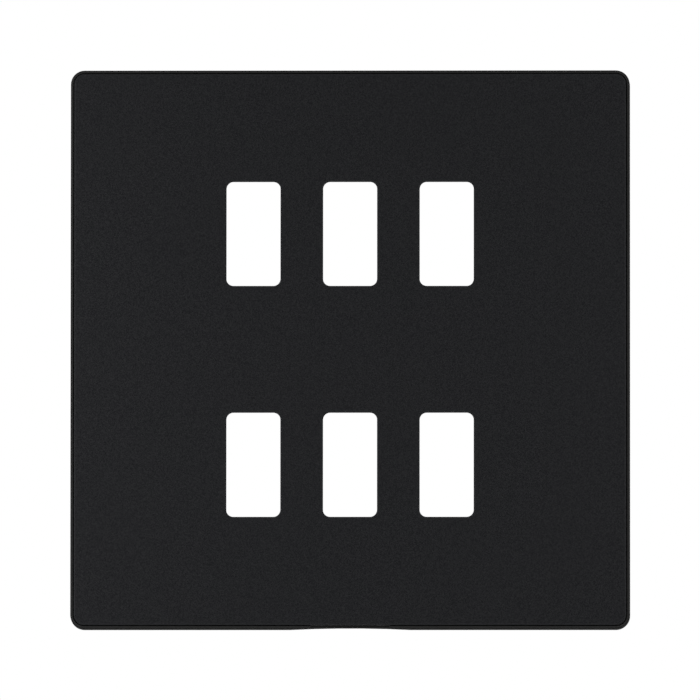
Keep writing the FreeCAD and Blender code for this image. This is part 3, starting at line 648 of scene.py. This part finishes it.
def area_lamp(name, spot, aim, width, height, watts):
    """Rectangular lamp at a spot, turned to its aim and hidden from the camera."""
    lamp = bpy.data.lights.new(name, "AREA")
    lamp.shape = "RECTANGLE"
    lamp.size = width
    lamp.size_y = height
    lamp.energy = watts
    item = bpy.data.objects.new(name, lamp)
    item.location = spot
    item.rotation_euler = (Vector(aim) - Vector(spot)).to_track_quat("-Z", "Y").to_euler()
    item.visible_camera = False
    bpy.context.scene.collection.objects.link(item)


def studio_lamps():
    """A broad lamp in front, strips beside and below the face, and four lamps above and behind."""
    area_lamp("front", (0.0, -2.2, 0.1), MIDDLE, width=1.6, height=0.7, watts=16.3)
    area_lamp("left_strip", (-0.25, -0.11, -0.01), STRIP_AIM, **SIDE_STRIP, watts=0.45)
    area_lamp("right_strip", (0.30, -0.13, -0.01), STRIP_AIM, **SIDE_STRIP, watts=0.38)
    area_lamp("bottom_strip", (0.0, -0.024, -0.26), BOTTOM_EDGE, width=0.28, height=0.03, watts=0.13)
    area_lamp("left", (-2.2, 0.9, 0.9), MIDDLE, width=2.0, height=1.6, watts=18.0)
    area_lamp("right", (2.2, 0.9, 0.9), MIDDLE, width=2.0, height=1.6, watts=18.0)
    area_lamp("overhead", (0.0, 0.9, 2.1), MIDDLE, width=2.2, height=2.2, watts=22.0)
    area_lamp("rear", (0.9, 2.4, 1.1), MIDDLE, width=2.2, height=1.8, watts=22.0)


def pale_floor():
    """Plain floor that takes the shadow, a little brighter to the eye than its light makes it."""
    half = FLOOR_SIDE / 2
    mesh = bpy.data.meshes.new("floor")
    corners = [(-half, -half, 0), (half, -half, 0), (half, half, 0), (-half, half, 0)]
    mesh.from_pydata(corners, [], [(0, 1, 2, 3)])
    material, tree, shader = new_material("floor")
    shader.inputs["Base Color"].default_value = FLOOR_COLOUR
    shader.inputs["Roughness"].default_value = FLOOR_ROUGHNESS
    shader.inputs["Specular IOR Level"].default_value = 0.0
    shader.inputs["Emission Color"].default_value = WHITE
    glow = maths(tree, "MULTIPLY", seen_share(tree), FLOOR_GLOW)
    tree.links.new(glow, shader.inputs["Emission Strength"])
    mesh.materials.append(material)
    floor = bpy.data.objects.new("floor", mesh)
    floor.location.z = -FLOOR_DROP
    bpy.context.scene.collection.objects.link(floor)


def photo_camera(face_middle):
    """Camera at the photograph's angle, its frame fitted to the photograph's scale at the face."""
    data = bpy.data.cameras.new("camera")
    data.sensor_width = SENSOR_WIDTH
    data.lens = SENSOR_WIDTH * CAMERA_DISTANCE / (IMAGE_SIDE * SCALE_AT_FACE)
    data.clip_end = CLIP_END
    camera = bpy.data.objects.new("camera", data)
    flat = math.cos(CAMERA_ELEVATION)
    back = Vector((math.sin(CAMERA_AZIMUTH) * flat, -math.cos(CAMERA_AZIMUTH) * flat,
                   math.sin(CAMERA_ELEVATION)))
    aim = face_middle - Vector((0.0, 0.0, AIM_BELOW_MIDDLE))
    camera.location = aim + back * CAMERA_DISTANCE
    level = (-back).to_track_quat("-Z", "Y")
    camera.rotation_euler = (level @ Quaternion((0.0, 0.0, 1.0), CAMERA_ROLL)).to_euler()
    bpy.context.scene.collection.objects.link(camera)
    bpy.context.scene.camera = camera


# The part, then its stage.
face_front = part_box("front_plate")[0].y
web_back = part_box("grid_yoke")[0].y
steel = screw_steel()
brass = terminal_brass()

dress("front_plate", plate_paint(face_front + FACE_WALL))
dress("mounting_frame", frame_black(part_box("mounting_frame")[0].y, web_back))
dress("grid_yoke", zinc_sheet())
dress("earth_terminal_left", brass)
dress("earth_terminal_right", brass)
frame_screws(steel)
terminal_screws(steel)

studio_world()
studio_lamps()
pale_floor()
photo_camera(Vector((0.0, face_front, 0.0)))
bpy.context.scene.view_settings.view_transform = "Standard"
